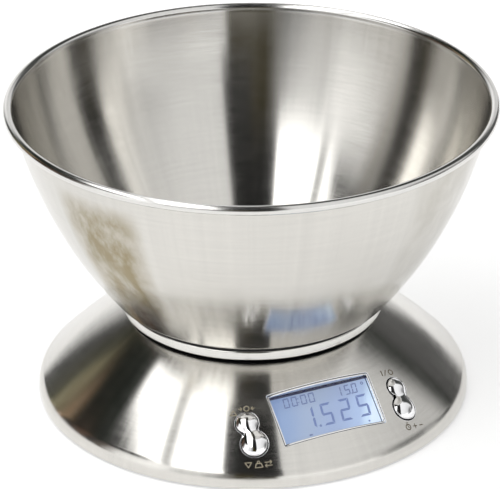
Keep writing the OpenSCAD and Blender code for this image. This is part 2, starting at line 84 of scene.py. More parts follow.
# cover: the dome's arc and its lower corner
BASE_R = 105.0
OPEN_R, OPEN_Z, OPEN_SLOPE = 61.6, 43.95, 33.1
DOME_R = 232.0
CORNER_R = 9.5
COVER_T = 0.7
SKIRT_Z = mm("top_cover")[0][2]
DOME_CR = OPEN_R - DOME_R * math.sin(math.radians(OPEN_SLOPE))
DOME_CZ = OPEN_Z - DOME_R * math.cos(math.radians(OPEN_SLOPE))
CORNER_CR = BASE_R - CORNER_R
CORNER_CZ = DOME_CZ + math.sqrt((DOME_R - CORNER_R) ** 2 - (CORNER_CR - DOME_CR) ** 2)
CORNER_A = math.degrees(math.atan2(CORNER_CZ - DOME_CZ, CORNER_CR - DOME_CR))

# display: its own frame has y uphill and z along its normal; the pieces lie between a low and a top height
SHOW_W, SHOW_L = 53.0, 26.6
SHOW_TILT = 38.4
SHOW_POS = (0.0, -80.75, 25.25)
RIM_WALL, RIM_LOW, RIM_SUNK = 0.85, -1.5, 0.25
WINDOW_LOW, WINDOW_TOP = -1.2, -0.85
MASK_LOW, MASK_TOP = -1.38, -1.35
LCD_W, LCD_L, LCD_LOW, LCD_TOP = 54.0, 27.2, -4.5, -1.42
SEGMENT_LOW, SEGMENT_TOP = -1.43, -1.395

# the cover's edge turned down into its openings: radius and depth
LIP, LIP_DEPTH = 0.28, 1.3

# rockers: two lobes run into each other, the cap with its rounded edge, the leg with the pin's bore, the pegs
BUTTON_X, BUTTON_Y, BUTTON_Z = 39.3, -80.85, 22.231
BUTTON_PITCH, BUTTON_ROLL = 38.920, 16.981
LOBE_Y, LOBE_TOP, LOBE_LOW, LOBE_MERGE = 5.35, 5.1, 6.1, 2.0
RISE_TOP, RISE_LOW, RISE_MERGE = 2.4, 2.8, 1.3
BUTTON_GAP = 0.5
PIVOT = -5.0
CAP_TOP, CAP_EDGE, CAP_LOW = 0.965, 0.45, -2.2
BORE_R, BORE_UP, LEG_HALF = 1.05, 0.55, 3.9
PEG_R, PEG_LOW, PEG_TOP = 1.5, -7.4, -2.1
PRINT_LIFT = 0.012

FOOT_R, FOOT_PLACE = 7.5, 84.0


# ---------------------------------------------------------------- mesh helpers
def arc(cr, cz, r, a, b, n):
    """n + 1 points of an arc round (cr, cz) from angle a to angle b, in degrees."""
    t = np.radians(np.linspace(a, b, n + 1))
    return [(cr + r * math.cos(k), cz + r * math.sin(k)) for k in t]


def rounded(points, radius, n=5):
    """The open line through the points with each inner corner rounded."""
    out = [points[0]]
    for a, b, c in zip(points, points[1:], points[2:]):
        a, b, c = (np.array(v, float) for v in (a, b, c))
        u, v = (a - b), (c - b)
        cut = min(radius, np.linalg.norm(u) * 0.49, np.linalg.norm(v) * 0.49)
        p, q = b + u / np.linalg.norm(u) * cut, b + v / np.linalg.norm(v) * cut
        for k in range(n + 1):
            t = k / n
            out.append(tuple((1 - t) ** 2 * p + 2 * t * (1 - t) * b + t * t * q))
    return out + [points[-1]]


def obj_from(name, verts, faces, mats, body, place=None, face_mats=None, sharp=35, slot=None):
    """A piece from vertices in millimetres; place is its frame's matrix."""
    mesh = bpy.data.meshes.new(name)
    mesh.from_pydata([tuple(float(c) * MM for c in v) for v in verts], [], faces)
    for m in mats:
        mesh.materials.append(m)
    if face_mats is not None:
        mesh.polygons.foreach_set("material_index", face_mats)
    mesh.validate()
    mesh.update()
    mesh.shade_smooth()
    mesh.set_sharp_from_angle(angle=math.radians(sharp))
    piece = bpy.data.objects.new(name, mesh)
    bpy.context.scene.collection.objects.link(piece)
    if place is not None:
        piece.matrix_world = place
    if body:
        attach(piece, body)
    return piece


def lathe(points, sides, marks=None):
    """Vertices, faces and material marks of a closed profile turned about Z."""
    verts, rings, faces, face_marks = [], [], [], []
    angles = np.linspace(0, 2 * math.pi, sides, endpoint=False)
    for r, z in points:
        start = len(verts)
        if r < 1e-6:
            verts.append((0, 0, z))
            rings.append([start] * sides)
        else:
            verts += [(r * math.cos(a), r * math.sin(a), z) for a in angles]
            rings.append(list(range(start, start + sides)))
    n = len(points)
    for i in range(n):
        a, b = rings[i], rings[(i + 1) % n]
        if a[0] == a[1] and b[0] == b[1]:
            continue
        for k in range(sides):
            m = (k + 1) % sides
            quad = [a[k], a[m], b[m], b[k]]
            face = [v for j, v in enumerate(quad) if v not in quad[:j]]
            faces.append(face)
            face_marks.append(marks[i] if marks else 0)
    return verts, faces, face_marks


def join(*parts):
    """Several (verts, faces) in one."""
    verts, faces = [], []
    for v, f in parts:
        start = len(verts)
        verts += list(v)
        faces += [[i + start for i in face] for face in f]
    return verts, faces


def prism(outline, low, high, bevel=0.0, inner=None):
    """A closed outline raised from low to high, with its upper edge bevelled; inner is a hole with as many points."""
    pts = np.array(outline, float)
    n = len(pts)
    centre = pts.mean(0)
    levels = [(0.0, low), (0.0, high - bevel), (bevel, high)] if bevel else [(0.0, low), (0.0, high)]
    verts, faces = [], []
    for inset, z in levels:
        d = pts - centre
        shrink = 1 - inset / np.maximum(np.linalg.norm(d, axis=1), 1e-6)
        verts += [(*(centre + d[i] * shrink[i]), z) for i in range(n)]
    for k in range(len(levels) - 1):
        for i in range(n):
            j = (i + 1) % n
            faces.append([k * n + i, k * n + j, (k + 1) * n + j, (k + 1) * n + i])
    top = (len(levels) - 1) * n
    if inner is None:
        faces += [[top + i for i in range(n)], list(range(n))[::-1]]
    else:
        base = len(verts)
        verts += [(p[0], p[1], low) for p in inner] + [(p[0], p[1], high) for p in inner]
        for i in range(n):
            j = (i + 1) % n
            faces.append([base + i, base + n + i, base + n + j, base + j])
            faces.append([top + i, top + j, base + n + j, base + n + i])
            faces.append([j, i, base + i, base + j])
    return verts, faces


def swept(rings, closed_section=False):
    """A tube or strip through rings of points; the rings follow a closed path."""
    n, m = len(rings), len(rings[0])
    verts = [p for ring in rings for p in ring]
    last = m if closed_section else m - 1
    faces = []
    for i in range(n):
        j = (i + 1) % n
        for k in range(last):
            q = (k + 1) % m
            faces.append([i * m + k, j * m + k, j * m + q, i * m + q])
    return verts, faces


def round_rect(w, l, r, step=6, side=24):
    """A closed outline, anticlockwise, of a rectangle with rounded corners."""
    out = []
    corners = [(w / 2 - r, l / 2 - r, 0), (-w / 2 + r, l / 2 - r, 90), (-w / 2 + r, -l / 2 + r, 180),
               (w / 2 - r, -l / 2 + r, 270)]
    for i, (x, y, a) in enumerate(corners):
        pts = arc(x, y, r, a, a + 90, step)
        nx, ny, na = corners[(i + 1) % 4]
        start = arc(nx, ny, r, na, na + 90, step)[0]
        out += pts
        for k in range(1, side):
            t = k / side
            out.append((pts[-1][0] * (1 - t) + start[0] * t, pts[-1][1] * (1 - t) + start[1] * t))
    return out


def outward(outline):
    """Unit outward directions of an anticlockwise outline."""
    p = np.array(outline, float)
    d = np.roll(p, -1, 0) - np.roll(p, 1, 0)
    d /= np.linalg.norm(d, axis=1)[:, None]
    return np.stack([d[:, 1], -d[:, 0]], 1)


# ---------------------------------------------------------------- frames on the dome
def rotation(axis, degrees):
    return Matrix.Rotation(math.radians(degrees), 4, axis)


display_place = Matrix.Translation(Vector(SHOW_POS) * MM) @ rotation("X", SHOW_TILT)


def button_place(side):
    return (Matrix.Translation(Vector((side * BUTTON_X, BUTTON_Y, BUTTON_Z)) * MM)
            @ rotation("X", BUTTON_PITCH) @ rotation("Y", side * BUTTON_ROLL))


def on_dome(place, x, y, off=0.0):
    """Height, along a frame's z, of the dome over the frame's point (x, y)."""
    m = np.array(place, float)
    rot, pos = m[:3, :3], m[:3, 3] / MM
    h = 0.0
    for _ in range(30):
        p = rot @ np.array([x, y, h]) + pos
        r = math.hypot(p[0], p[1])
        dist = math.hypot(r - DOME_CR, p[2] - DOME_CZ) - DOME_R - off
        n = np.array([(r - DOME_CR) * p[0] / r, (r - DOME_CR) * p[1] / r, p[2] - DOME_CZ])
        n /= np.linalg.norm(n)
        h -= dist / (rot.T @ n)[2]
        if abs(dist) < 1e-7:
            break
    return h


def lip(place, outline):
    """The cover's edge turned down into an opening."""
    start_out, flange = LIP + 0.02, 0.5
    rings = []
    for (x, y), (dx, dy) in zip(outline, outward(outline)):
        x0, y0 = x + dx * start_out, y + dy * start_out
        h = on_dome(place, x, y)
        p0 = np.array([x0, y0, on_dome(place, x0, y0) - 0.002])
        p1 = np.array([x, y, h])
        p2 = np.array([x, y, h - LIP])
        ring = [(1 - t) ** 2 * p0 + 2 * t * (1 - t) * p1 + t * t * p2 for t in np.linspace(0, 1, 9)]
        ring.append(np.array([x, y, h - LIP_DEPTH]))
        ring.append(np.array([x + dx * flange, y + dy * flange, h - LIP_DEPTH]))
        rings.append([tuple(p) for p in ring])
    return swept(rings)


# ---------------------------------------------------------------- rocker outline
def blob(x, y):
    """Signed distance to the rocker's outline, the two lobes run into each other."""
    a = math.hypot(x, y + LOBE_Y) - LOBE_LOW
    b = math.hypot(x, y - LOBE_Y) - LOBE_TOP
    h = min(1.0, max(0.0, 0.5 + 0.5 * (b - a) / LOBE_MERGE))
    return b * (1 - h) + a * h - LOBE_MERGE * h * (1 - h)


def reach(angle, grow):
    """How far the rocker's outline, grown by a distance, is from its middle at an angle."""
    c, s = math.cos(angle), math.sin(angle)
    lo, hi = 0.5, 16.0
    for _ in range(40):
        mid = (lo + hi) / 2
        if blob(mid * c, mid * s) < grow:
            lo = mid
        else:
            hi = mid
    return lo


def around(grow, n):
    """n points at even angles of the rocker's outline grown by a distance."""
    return [(reach(a, grow) * math.cos(a), reach(a, grow) * math.sin(a))
            for a in np.linspace(0, 2 * math.pi, n, endpoint=False)]


def peanut(grow, n):
    """The same outline with its points spread evenly along its length."""
    fine = around(grow, 720)
    p = np.array(fine + fine[:1])
    s = np.concatenate([[0], np.cumsum(np.linalg.norm(np.diff(p, axis=0), axis=1))])
    t = np.linspace(0, s[-1], n, endpoint=False)
    return [(float(np.interp(k, s, p[:, 0])), float(np.interp(k, s, p[:, 1]))) for k in t]


def crown(x, y):
    """Height of the rocker's cap: two domes and a saddle between them."""
    parts = []
    for cy, r, c in ((LOBE_Y, LOBE_TOP, RISE_TOP), (-LOBE_Y, LOBE_LOW, RISE_LOW)):
        ball = (r * r + c * c) / (2 * c)
        rho2 = min(x * x + (y - cy) ** 2, (ball * 0.98) ** 2)
        parts.append(math.sqrt(ball * ball - rho2) - (ball - c) + 0.3)
    parts.append(1.9 - 0.10 * x * x - 0.03 * y * y)
    top = max(parts)
    return top + math.log(sum(math.exp(RISE_MERGE * (v - top)) for v in parts)) / RISE_MERGE


# ---------------------------------------------------------------- materials
def node(tree, kind, inputs=None, **props):
    n = tree.nodes.new(kind)
    for key, value in props.items():
        setattr(n, key, value)
    for key, value in (inputs or {}).items():
        if isinstance(value, bpy.types.NodeSocket):
            tree.links.new(value, n.inputs[key])
        else:
            n.inputs[key].default_value = value
    return n


def calc(tree, op, a, b=None):
    inputs = {0: a} if b is None else {0: a, 1: b}
    return node(tree, "ShaderNodeMath", inputs, operation=op).outputs[0]


def scaled(tree, vector, by):
    return node(tree, "ShaderNodeVectorMath", {0: vector, 1: by}, operation="MULTIPLY").outputs[0]


def dot(tree, a, b):
    return node(tree, "ShaderNodeVectorMath", {0: a, 1: b}, operation="DOT_PRODUCT").outputs["Value"]


def split(tree, vector):
    return node(tree, "ShaderNodeSeparateXYZ", {0: vector}).outputs


def vec(tree, x, y, z):
    return node(tree, "ShaderNodeCombineXYZ", {0: x, 1: y, 2: z}).outputs[0]


def noise(tree, vector, scale, detail=3.0, rough=0.5):
    return node(tree, "ShaderNodeTexNoise",
                {"Vector": vector, "Scale": scale, "Detail": detail, "Roughness": rough}).outputs["Fac"]


def spread(tree, value, lo, hi, start=0.3, end=0.7):
    return node(tree, "ShaderNodeMapRange", {0: value, 1: start, 2: end, 3: lo, 4: hi}).outputs[0]


def blend(tree, factor, a, b):
    return node(tree, "ShaderNodeMix", {0: factor, 6: (*a, 1) if isinstance(a, tuple) else a,
                                        7: (*b, 1) if isinstance(b, tuple) else b},
                data_type="RGBA").outputs[2]


def product(tree, a, b):
    """One colour times another."""
    return node(tree, "ShaderNodeMix", {0: 1.0, 6: a, 7: b}, data_type="RGBA", blend_type="MULTIPLY").outputs[2]


def ramp(tree, value, stops, interpolation="LINEAR"):
    n = node(tree, "ShaderNodeValToRGB", {0: value})
    n.color_ramp.interpolation = interpolation
    elements = n.color_ramp.elements
    while len(elements) > 1:
        elements.remove(elements[0])
    elements[0].position = stops[0][0]
    elements[0].color = colour4(stops[0][1])
    for pos, c in stops[1:]:
        elements.new(pos).color = colour4(c)
    return n.outputs[0]


def colour4(c):
    return (c, c, c, 1) if isinstance(c, (int, float)) else (*c, 1)


def bump(tree, height, strength, distance):
    return node(tree, "ShaderNodeBump", {"Height": height, "Strength": strength, "Distance": distance}).outputs[0]


def start(name):
    """A new material, its node tree, its shader and the object's own coordinates."""
    material = bpy.data.materials.new(name)
    material.use_nodes = True
    tree = material.node_tree
    return material, tree, tree.nodes["Principled BSDF"], node(tree, "ShaderNodeTexCoord").outputs["Object"]


def link(tree, output, shader, name):
    tree.links.new(output, shader.inputs[name])


def turned_steel(name, tint, rough, brush, aniso, streak=1.0, smudge=0.03, slope=1.0, painted_reflections=()):
    """Sheet steel brushed round the Z axis: fine scratches along the turning, broader streaks and soft smudges.
    slope is 1 where the sheet rises outwards and -1 where it falls outwards. painted_reflections are reflections
    painted into
    the colour as warm or grey mottled areas: angle, half width, lower and upper height, strength and tint."""
    material, t, s, where = start(name)
    xyz = split(t, where)
    flat = vec(t, xyz[0], xyz[1], 0.0)
    radius = node(t, "ShaderNodeVectorMath", {0: flat}, operation="LENGTH").outputs["Value"]
    turn = node(t, "ShaderNodeVectorMath", {0: flat}, operation="NORMALIZE").outputs["Vector"]
    along = calc(t, "ADD", calc(t, "MULTIPLY", xyz[2], slope), calc(t, "MULTIPLY", radius, 0.83))
    tx = split(t, turn)

    def scratch(turns, across, detail):
        v = vec(t, calc(t, "MULTIPLY", tx[0], turns), calc(t, "MULTIPLY", tx[1], turns),
                calc(t, "MULTIPLY", along, across))
        return noise(t, v, 1.0, detail)

    fine = scratch(7.0, 4200.0, 3.0)
    broad = scratch(3.0, 520.0, 2.0)
    rays = noise(t, turn, 26.0, 4.0, 0.6)
    cloud = noise(t, where, 28.0, 3.0)
    shade = calc(t, "ADD", calc(t, "MULTIPLY", calc(t, "SUBTRACT", broad, 0.5), 0.16 * streak),
                 calc(t, "MULTIPLY", calc(t, "SUBTRACT", rays, 0.5), 0.26 * streak))
    light = tuple(min(1.0, c * 1.12) for c in tint)
    dark = tuple(c * 0.86 for c in tint)
    base = blend(t, spread(t, calc(t, "ADD", shade, 0.5), 0, 1), dark, light)
    # painted reflection: each patch lays a mottled tint into the base colour
    for angle, width, low, top, strength, reflection_tint in painted_reflections:
        a = math.radians(angle)
        rim, core = math.cos(math.radians(width)), math.cos(math.radians(width * 0.45))
        side = spread(t, dot(t, turn, (math.sin(a), -math.cos(a), 0)), 0, 1, rim, core)
        tall = calc(t, "MULTIPLY", spread(t, xyz[2], 0, 1, low * MM, (low + 14) * MM),
                    spread(t, xyz[2], 1, 0, (top - 12) * MM, top * MM))
        mottle = spread(t, noise(t, scaled(t, where, (1, 1, 0.55)), 95.0, 5.0, 0.65), 0.45, 1.0, 0.35, 0.6)
        amount = calc(t, "MULTIPLY", calc(t, "MULTIPLY", side, tall), calc(t, "MULTIPLY", mottle, strength))
        base = blend(t, amount, base, reflection_tint)
    link(t, base, s, "Base Color")
    r = calc(t, "ADD", spread(t, fine, rough - brush, rough + brush), spread(t, cloud, -smudge, smudge))
    link(t, calc(t, "ADD", r, calc(t, "MULTIPLY", calc(t, "SUBTRACT", rays, 0.5), 0.10 * streak)), s, "Roughness")
    link(t, bump(t, calc(t, "ADD", calc(t, "MULTIPLY", fine, 0.5), broad), 0.22 * streak, 0.00002), s, "Normal")
    s.inputs["Metallic"].default_value = 1.0
    s.inputs["Anisotropic"].default_value = aniso
    s.inputs["Anisotropic Rotation"].default_value = 0.25
    link(t, node(t, "ShaderNodeTangent", direction_type="RADIAL", axis="Z").outputs[0], s, "Tangent")
    return material


def cast_metal(name, tint, rough, vary, scale, stretch=(1, 1, 1), pits=0.1):
    """Milled or plated metal with a directional grain, patchy gloss and small pits."""
    material, t, s, where = start(name)
    fine = noise(t, scaled(t, where, stretch), scale, 4.0)
    cloud = noise(t, where, 60.0, 3.0)
    link(t, blend(t, spread(t, cloud, 0, 1), tuple(c * 0.84 for c in tint), tint), s, "Base Color")
    link(t, calc(t, "ADD", spread(t, fine, rough - vary, rough + vary), spread(t, cloud, -0.03, 0.05)), s, "Roughness")
    link(t, bump(t, fine, pits, 0.00004), s, "Normal")
    s.inputs["Metallic"].default_value = 1.0
    return material


def chrome_plate(name):
    """Mirror plating: almost even, with a very soft ripple and a few faint wiping marks."""
    material, t, s, where = start(name)
    ripple = noise(t, where, 220.0, 2.0)
    wipe = noise(t, where, 900.0, 4.0)
    link(t, blend(t, spread(t, ripple, 0, 1), (0.86, 0.86, 0.87), (0.93, 0.93, 0.94)), s, "Base Color")
    link(t, calc(t, "ADD", spread(t, wipe, 0.03, 0.07), spread(t, ripple, 0.0, 0.02)), s, "Roughness")
    link(t, bump(t, ripple, 0.06, 0.0001), s, "Normal")
    s.inputs["Metallic"].default_value = 1.0
    return material


def moulded(name, tint, rough, grain=1400.0, depth=0.35, gloss=0.5, sheen=0.0):
    """Moulded plastic or rubber: a spark-eroded grain, faint flow marks and slightly worn high spots."""
    material, t, s, where = start(name)
    cells = node(t, "ShaderNodeTexVoronoi", {"Vector": where, "Scale": grain}).outputs["Distance"]
    fine = noise(t, where, grain * 1.7, 3.0)
    flow = noise(t, where, 35.0, 4.0, 0.6)
    worn = spread(t, noise(t, where, 160.0, 5.0, 0.65), 0, 1, 0.55, 0.8)
    lighter = tuple(min(1.0, c * 1.35 + 0.012) for c in tint)
    base = blend(t, spread(t, flow, 0, 1), tuple(c * 0.88 for c in tint), tint)
    link(t, blend(t, calc(t, "MULTIPLY", worn, 0.35), base, lighter), s, "Base Color")
    link(t, calc(t, "ADD", spread(t, fine, rough - 0.05, rough + 0.06), spread(t, flow, -0.04, 0.04)), s, "Roughness")
    height = calc(t, "ADD", cells, calc(t, "MULTIPLY", fine, 0.6))
    link(t, bump(t, height, depth, 0.00006), s, "Normal")
    s.inputs["Specular IOR Level"].default_value = gloss
    s.inputs["Sheen Weight"].default_value = sheen
    return material


def circuit_board(name):
    """Solder mask over copper tracks, with tinned pads."""
    material, t, s, where = start(name)
    grid = node(t, "ShaderNodeTexBrick",
                {"Vector": where, "Scale": 420.0, "Color1": (0.02, 0.15, 0.06, 1), "Color2": (0.015, 0.11, 0.05, 1),
                 "Mortar": (0.05, 0.27, 0.12, 1), "Mortar Size": 0.03}).outputs
    pads = node(t, "ShaderNodeTexVoronoi", {"Vector": where, "Scale": 330.0}).outputs["Distance"]
    tinned = spread(t, pads, 1, 0, 0.09, 0.12)
    link(t, blend(t, tinned, grid["Color"], (0.72, 0.70, 0.64)), s, "Base Color")
    link(t, spread(t, tinned, 0.32, 0.22, 0, 1), s, "Roughness")
    link(t, tinned, s, "Metallic")
    link(t, bump(t, calc(t, "ADD", grid["Fac"], tinned), 0.4, 0.00004), s, "Normal")
    return material


def battery_jacket(name):
    """Printed metal jacket: copper-coloured band, dark band and a fine lengthwise grain."""
    material, t, s, where = start(name)
    x = split(t, where)[0]
    grain = noise(t, scaled(t, where, (60, 2400, 2400)), 1.0, 3.0)
    bands = ramp(t, spread(t, x, 0, 1, -0.023, 0.023),
                 [(0.0, (0.02, 0.02, 0.022)), (0.62, (0.02, 0.02, 0.022)), (0.64, (0.62, 0.40, 0.16)),
                  (1.0, (0.70, 0.47, 0.20))])
    link(t, blend(t, calc(t, "MULTIPLY", grain, 0.25), bands, (0.8, 0.75, 0.66)), s, "Base Color")
    link(t, spread(t, grain, 0.22, 0.36), s, "Roughness")
    link(t, bump(t, grain, 0.15, 0.00003), s, "Normal")
    s.inputs["Metallic"].default_value = 0.7
    return material


def jacket(name, tint):
    """Wire insulation: soft gloss, a faint twist and dusty patches."""
    material, t, s, where = start(name)
    twist = node(t, "ShaderNodeTexWave",
                 {"Vector": where, "Scale": 160.0, "Distortion": 3.0, "Detail": 2.0}).outputs["Fac"]
    dust = noise(t, where, 300.0, 4.0)
    link(t, blend(t, spread(t, dust, 0, 0.5), tint, tuple(min(1, c * 1.25 + 0.03) for c in tint)), s, "Base Color")
    link(t, spread(t, dust, 0.30, 0.50), s, "Roughness")
    link(t, bump(t, calc(t, "ADD", twist, dust), 0.12, 0.00005), s, "Normal")
    return material


def striped_rubber(name):
    """Contact strip: thin conductive layers between insulating ones."""
    material, t, s, where = start(name)
    stripes = node(t, "ShaderNodeTexWave", {"Vector": where, "Scale": 1100.0, "Distortion": 0.0},
                   bands_direction="X").outputs["Fac"]
    speck = noise(t, where, 1800.0, 3.0)
    link(t, blend(t, spread(t, stripes, 0, 1, 0.45, 0.55), (0.04, 0.04, 0.045), (0.24, 0.24, 0.26)), s, "Base Color")
    link(t, spread(t, speck, 0.55, 0.75), s, "Roughness")
    link(t, bump(t, calc(t, "ADD", stripes, speck), 0.2, 0.00004), s, "Normal")
    return material


def clear_window(name):
    """Clear acrylic with a hard coat: faint haze and hairline scratches."""
    material, t, s, where = start(name)
    hair = noise(t, scaled(t, where, (3000, 90, 90)), 1.0, 2.0)
    haze = noise(t, where, 70.0, 3.0)
    link(t, blend(t, haze, (0.95, 0.97, 1.0), (0.99, 0.99, 1.0)), s, "Base Color")
    link(t, calc(t, "ADD", spread(t, hair, 0.0, 0.02), spread(t, haze, 0.0, 0.015)), s, "Roughness")
    link(t, bump(t, hair, 0.02, 0.00001), s, "Normal")
    s.inputs["Transmission Weight"].default_value = 1.0
    s.inputs["IOR"].default_value = 1.45
    return material


def lit_lcd(name, strength):
    """Backlit LCD: blue light that is paler towards the right edge, with the panel's pixel-fine texture."""
    material, t, s, where = start(name)
    xyz = split(t, where)
    across = spread(t, xyz[0], 0, 1, -SHOW_W / 2 * MM, SHOW_W / 2 * MM)
    up = spread(t, xyz[1], 0, 1, -SHOW_L / 2 * MM, SHOW_L / 2 * MM)
    cloud = noise(t, where, 55.0, 3.0)
    mesh = noise(t, where, 2600.0, 2.0)
    lean = calc(t, "ADD", across, calc(t, "MULTIPLY", calc(t, "SUBTRACT", 0.5, up), 0.25))
    body = ramp(t, calc(t, "ADD", lean, calc(t, "MULTIPLY", calc(t, "SUBTRACT", cloud, 0.5), 0.12)),
                [(0.0, (0.17, 0.26, 0.47)), (0.10, (0.215, 0.31, 0.49)), (0.35, (0.29, 0.365, 0.49)),
                 (0.62, (0.28, 0.36, 0.53)), (0.84, (0.35, 0.46, 0.66)), (0.95, (0.55, 0.70, 0.86)),
                 (1.0, (0.68, 0.80, 0.92))], "EASE")
    shade = ramp(t, up, [(0.0, 0.90), (0.15, 1.0), (0.55, 1.0), (0.8, 0.86), (1.0, 0.74)], "EASE")
    link(t, product(t, body, shade), s, "Emission Color")
    s.inputs["Emission Strength"].default_value = strength
    link(t, blend(t, mesh, (0.10, 0.13, 0.22), (0.13, 0.17, 0.27)), s, "Base Color")
    link(t, spread(t, mesh, 0.35, 0.5), s, "Roughness")
    link(t, bump(t, mesh, 0.05, 0.00001), s, "Normal")
    return material


def lcd_segment(name, tint, strength):
    """A switched-on LCD segment: the backlight through a dark blue film."""
    material, t, s, where = start(name)
    film = noise(t, where, 400.0, 3.0)
    link(t, blend(t, film, tuple(c * 0.92 for c in tint), tuple(c * 1.08 for c in tint)), s, "Emission Color")
    s.inputs["Emission Strength"].default_value = strength
    link(t, blend(t, film, (0.02, 0.025, 0.06), (0.03, 0.04, 0.08)), s, "Base Color")
    link(t, spread(t, film, 0.4, 0.5), s, "Roughness")
    return material


def screen_print(name, tint):
    """Printed ink: slightly uneven cover, matt and a little raised."""
    material, t, s, where = start(name)
    cover = noise(t, where, 1500.0, 4.0)
    thin, thick = tuple(c * 0.8 for c in tint), tuple(min(1, c * 1.15) for c in tint)
    link(t, blend(t, spread(t, cover, 0, 1), thin, thick), s, "Base Color")
    link(t, spread(t, cover, 0.45, 0.65), s, "Roughness")
    link(t, bump(t, cover, 0.2, 0.00002), s, "Normal")
    return material


STEEL = (0.66, 0.645, 0.61)
M = {
    # the bowl's outside carries two painted reflections: a warm brown mottled patch and a fainter grey one
    "brushed_steel": turned_steel("brushed_steel", (0.63, 0.615, 0.58), 0.165, 0.045, 0.85, painted_reflections=(
        (-66, 14, 66, 142, 1.0, (0.29, 0.24, 0.14)), (31, 15, 72, 160, 0.6, (0.42, 0.40, 0.35)))),
    "polished_steel": turned_steel("polished_steel", (0.70, 0.69, 0.66), 0.18, 0.03, 0.6, 0.5, 0.015, -1.0),
    "chrome": chrome_plate("chrome"),
    "black_plastic": moulded("black_plastic", (0.028, 0.028, 0.03), 0.5),
    "case_plastic": moulded("case_plastic", (0.055, 0.055, 0.06), 0.52, 1100.0, 0.5),
    "rubber": moulded("rubber", (0.035, 0.035, 0.036), 0.78, 900.0, 0.6, 0.35, 0.15),
    "aluminium": cast_metal("aluminium", (0.68, 0.68, 0.70), 0.36, 0.08, 1.0, (40, 2600, 2600), 0.2),
    "screw_steel": cast_metal("screw_steel", (0.42, 0.43, 0.45), 0.33, 0.06, 1800.0),
    "white_plastic": moulded("white_plastic", (0.80, 0.80, 0.78), 0.42, 1500.0, 0.2),
    "silicone": moulded("silicone", (0.84, 0.84, 0.81), 0.5, 700.0, 0.3, 0.5, 0.1),
    "board_green": circuit_board("board_green"),
    "chip_black": moulded("chip_black", (0.018, 0.018, 0.02), 0.6, 2600.0, 0.25),
    "ceramic": moulded("ceramic", (0.50, 0.38, 0.24), 0.35, 2600.0, 0.15),
    "clear_lens": clear_window("clear_lens"),
    "lcd_blue": lit_lcd("lcd_blue", 1.0),
    "backlight": moulded("backlight", (0.70, 0.80, 0.95), 0.3, 2000.0, 0.1),
    "conductive_rubber": striped_rubber("conductive_rubber"),
    "battery_wrap": battery_jacket("battery_wrap"),
    "contact_metal": cast_metal("contact_metal", (0.74, 0.73, 0.68), 0.24, 0.05, 1500.0),
    "wire_white": jacket("wire_white", (0.76, 0.76, 0.74)),
    "wire_grey": jacket("wire_grey", (0.34, 0.34, 0.36)),
    "wire_red": jacket("wire_red", (0.52, 0.02, 0.02)),
    "wire_black": jacket("wire_black", (0.02, 0.02, 0.022)),
}
bowl_inside = turned_steel("bowl_inside", STEEL, 0.165, 0.04, 0.86, 0.8)
cover_steel = turned_steel("cover_steel", STEEL, 0.16, 0.04, 0.90, slope=-1.0)
rim_polish = turned_steel("rim_polish", (0.70, 0.69, 0.67), 0.17, 0.03, 0.4, 0.5, 0.01)
lip_polish = chrome_plate("lip_polish")
print_gold = screen_print("print_gold", (0.34, 0.30, 0.21))
print_brown = screen_print("print_brown", (0.13, 0.105, 0.065))
segment_ink = lcd_segment("segment_ink", (0.115, 0.175, 0.40), 1.0)
segment_faint = lcd_segment("segment_faint", (0.100, 0.14, 0.33), 1.0)
mask_navy = moulded("mask_navy", (0.010, 0.018, 0.12), 0.7, 1800.0, 0.1, 0.05)

slot_of = {row["node"]: row["material_slot"] for row in frame["record"]["subparts"]}
for name, piece in frame["nodes"].items():
    piece.data.materials.clear()
    piece.data.materials.append(M[slot_of[name]])

# ---------------------------------------------------------------- bowl
outer = rounded([(0, BOWL_Z + KICK_H), (KICK_R - 0.5, BOWL_Z + KICK_H), (KICK_R + 0.6, BOWL_Z),
                 (FILLET_CR - 0.5, BOWL_Z)], 0.8)
outer += arc(FILLET_CR, FILLET_CZ, FILLET, -90, WALL_FOOT, 16)
outer += arc(WALL_CR, WALL_CZ, WALL_R, WALL_FOOT, WALL_TOP, 90)[1:]
curl = arc(CURL_CR, CURL_CZ, CURL - BOWL_T, 170, -118, 30)
middle = CURL - BOWL_T / 2
curl += arc(CURL_CR - middle * 0.5, CURL_CZ - middle * 0.866, BOWL_T / 2, 60, -120, 6)[1:-1]
curl += arc(CURL_CR, CURL_CZ, CURL, -120, 180, 40)
inner = rounded([(0, BOWL_Z + KICK_H + BOWL_T), (KICK_R - 0.3, BOWL_Z + KICK_H + BOWL_T),
                 (KICK_R + 0.8, BOWL_Z + BOWL_T), (FILLET_CR - 0.5, BOWL_Z + BOWL_T)], 0.8)
inner += arc(FILLET_CR, FILLET_CZ, FILLET - BOWL_T, -90, WALL_FOOT, 12)
inner += arc(WALL_CR, WALL_CZ, WALL_R - BOWL_T, WALL_FOOT, WALL_TOP - 0.3, 90)[1:]
profile = outer + curl + inner[::-1]
marks = [0] * (len(outer) - 1) + [1] * (len(curl) + 1) + [2] * len(inner)
verts, faces, face_marks = lathe(profile, 384, marks)
bowl = obj_from("bowl_shell", verts, faces, [M["brushed_steel"], rim_polish, bowl_inside], "bowl",
                face_mats=face_marks, slot="brushed_steel")
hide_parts("bowl")

